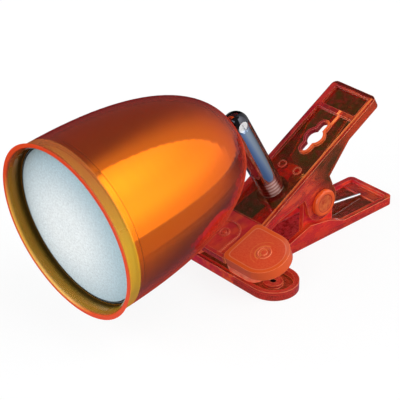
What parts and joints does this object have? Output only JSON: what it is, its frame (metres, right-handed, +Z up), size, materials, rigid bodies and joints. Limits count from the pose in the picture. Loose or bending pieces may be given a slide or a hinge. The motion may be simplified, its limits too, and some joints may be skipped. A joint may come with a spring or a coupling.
{
  "type": "clip-on reading lamp",
  "caption": "Clip-on reading lamp: sprung two-lever clamp of clear orange plastic, swivelling chrome arm and tilting bell-shaped shade with a frosted front glass.",
  "frame": {"origin": "middle of the closed jaws, on the lower jaw's grip face, where the clip holds a shelf edge or board", "axes": "+Z up from the lower jaw's grip face, +Y from the jaws towards the handles, X across the clip; the shade faces -Y"},
  "size_m": [0.08, 0.1934, 0.0955],
  "materials": {
    "clip_plastic": "clear red-orange injection-moulded polycarbonate",
    "cap_plastic": "solid bright orange moulded plastic",
    "pad_rubber": "soft translucent salmon elastomer",
    "pin_steel": "bright zinc-plated steel",
    "spring_steel": "drawn spring steel wire",
    "chrome": "polished chrome plate on steel tube",
    "nylon": "natural nylon",
    "bush_rubber": "black moulded rubber",
    "shade_plastic": "clear orange polycarbonate with a high gloss",
    "liner": "spun aluminium reflector, pearl coated outside",
    "front_glass": "acid-frosted safety glass",
    "ring_steel": "blued spring steel ring",
    "tongue_plastic": "moulded orange plastic",
    "ceramic": "unglazed steatite ceramic",
    "brass": "plain brass",
    "quartz": "clear quartz glass",
    "tungsten": "tungsten and molybdenum wire",
    "lead_sleeve": "white woven glass-fibre sleeving"
  },
  "bodies": {
    "lower_clip": {"lower_lever": "clip_plastic", "pivot_pin": "pin_steel", "pivot_cap_right": "cap_plastic", "pivot_cap_left": "cap_plastic", "torsion_spring": "spring_steel"},
    "upper_clip": {"upper_lever": "clip_plastic", "grip_pad_right": "pad_rubber", "grip_pad_left": "pad_rubber", "slip_washer": "nylon"},
    "arm": {"arm_tube": "chrome", "arm_washer": "pin_steel", "arm_nut": "pin_steel", "cable_bush": "bush_rubber", "knuckle_screw": "chrome", "knuckle_nut": "pin_steel", "knuckle_washers": "nylon"},
    "head": {"shade": "shade_plastic", "reflector": "liner", "front_glass": "front_glass", "glass_ring": "ring_steel", "head_tongue": "tongue_plastic", "socket_bracket": "pin_steel", "rear_screws": "pin_steel", "lead_bush": "bush_rubber", "lamp_holder": "ceramic", "holder_screws": "pin_steel", "lamp_contacts": "brass", "lamp_capsule": "quartz", "lamp_pins": "tungsten", "lamp_leads": "lead_sleeve"}
  },
  "joints": [
    {"name": "clip_hinge", "type": "hinge", "parent": "lower_clip", "child": "upper_clip", "pos_m": [0, 0.0447, 0.016], "axis": [-1, 0, 0], "range_deg": [0, 40], "stiffness_Nm_per_rad": 0.9, "springref_deg": -34.38, "deforming": ["torsion_spring"]},
    {"name": "arm_swivel", "type": "hinge", "parent": "upper_clip", "child": "arm", "pos_m": [0, 0.02419, 0.02667], "axis": [0, -0.497, 0.8678], "range_deg": [-170, 170]},
    {"name": "head_tilt", "type": "hinge", "parent": "arm", "child": "head", "pos_m": [0, 0.00157, 0.06615], "axis": [-1, 0, 0], "range_deg": [-18, 70]}
  ]
}
